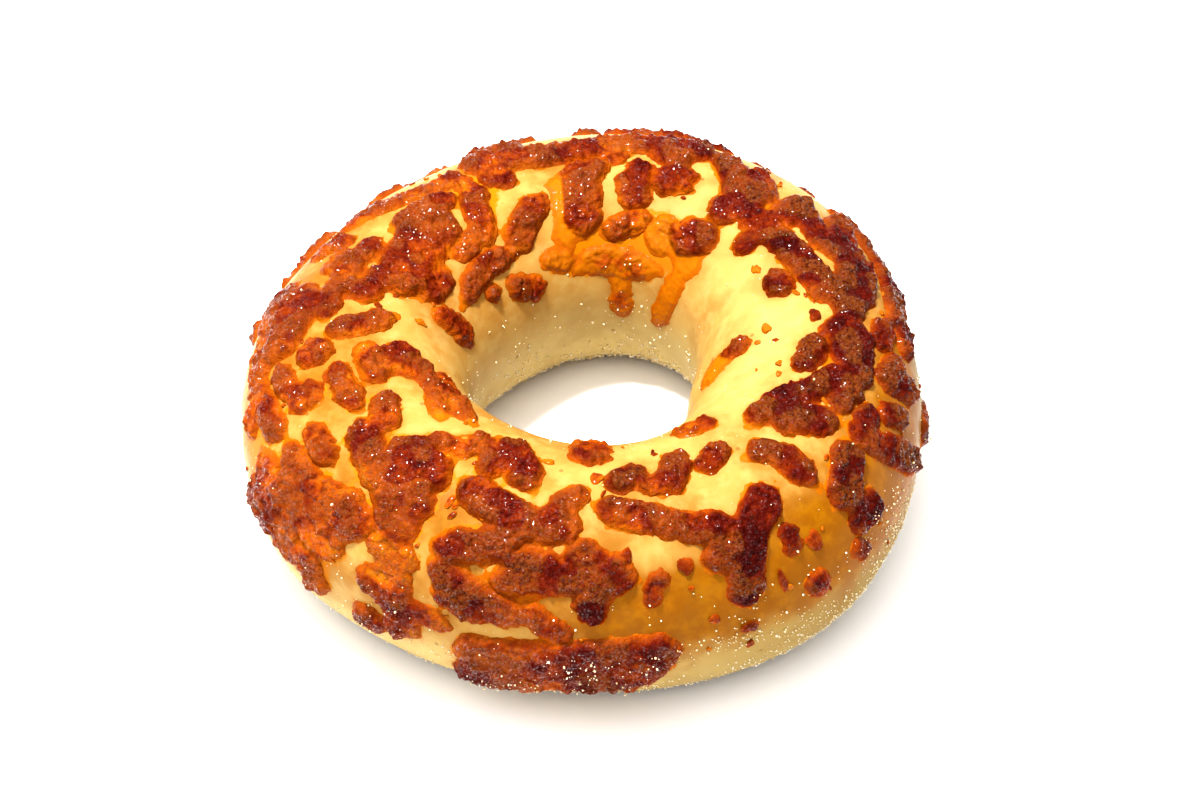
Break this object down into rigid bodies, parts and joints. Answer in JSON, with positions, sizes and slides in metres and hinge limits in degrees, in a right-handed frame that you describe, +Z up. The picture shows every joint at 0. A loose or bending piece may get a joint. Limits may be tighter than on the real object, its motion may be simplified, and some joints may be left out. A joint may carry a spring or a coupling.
{
  "type": "bagel",
  "caption": "Ring-shaped baked bagel with a rounded crust, a flat underside and clumps of browned melted cheese shreds over its top and outer side.",
  "frame": {"origin": "on the surface it stands on, under the middle of the bagel's bounding box", "axes": "+Z up through the hole, from the flat underside to the cheese-topped crest; -Y towards the side that the picture was taken from; +X to the right as seen from there"},
  "size_m": [0.117, 0.1162, 0.0415],
  "materials": {
    "crust": "baked bread crust, satin, pale golden with a browner glazed flank and a dusting of cornmeal",
    "melted_cheese": "melted and browned grated cheese, blistered, slightly greasy"
  },
  "bodies": {
    "root": {"bread_ring": "crust", "cheese_clump_01": "melted_cheese", "cheese_clump_02": "melted_cheese", "cheese_clump_03": "melted_cheese", "cheese_clump_04": "melted_cheese", "cheese_clump_05": "melted_cheese", "cheese_clump_06": "melted_cheese", "cheese_clump_07": "melted_cheese", "cheese_clump_08": "melted_cheese", "cheese_clump_09": "melted_cheese", "cheese_clump_10": "melted_cheese", "cheese_clump_11": "melted_cheese", "cheese_clump_12": "melted_cheese", "cheese_clump_13": "melted_cheese", "cheese_clump_14": "melted_cheese", "cheese_clump_15": "melted_cheese", "cheese_clump_16": "melted_cheese", "cheese_clump_17": "melted_cheese", "cheese_clump_18": "melted_cheese", "cheese_clump_19": "melted_cheese", "cheese_clump_20": "melted_cheese", "cheese_clump_21": "melted_cheese", "cheese_clump_22": "melted_cheese", "cheese_clump_23": "melted_cheese", "cheese_clump_24": "melted_cheese", "cheese_clump_25": "melted_cheese", "cheese_clump_26": "melted_cheese", "cheese_clump_27": "melted_cheese", "cheese_clump_28": "melted_cheese", "cheese_clump_29": "melted_cheese", "cheese_clump_30": "melted_cheese", "cheese_clump_31": "melted_cheese", "cheese_clump_32": "melted_cheese", "cheese_clump_33": "melted_cheese", "cheese_clump_34": "melted_cheese", "cheese_clump_35": "melted_cheese", "cheese_clump_36": "melted_cheese", "cheese_clump_37": "melted_cheese", "cheese_clump_38": "melted_cheese", "cheese_clump_39": "melted_cheese", "cheese_clump_40": "melted_cheese", "cheese_clump_41": "melted_cheese", "cheese_clump_42": "melted_cheese", "cheese_clump_43": "melted_cheese", "cheese_clump_44": "melted_cheese", "cheese_clump_45": "melted_cheese", "cheese_clump_46": "melted_cheese", "cheese_clump_47": "melted_cheese", "cheese_clump_48": "melted_cheese", "cheese_clump_49": "melted_cheese", "cheese_clump_50": "melted_cheese", "cheese_clump_51": "melted_cheese", "cheese_clump_52": "melted_cheese", "cheese_clump_53": "melted_cheese"}
  },
  "joints": []
}
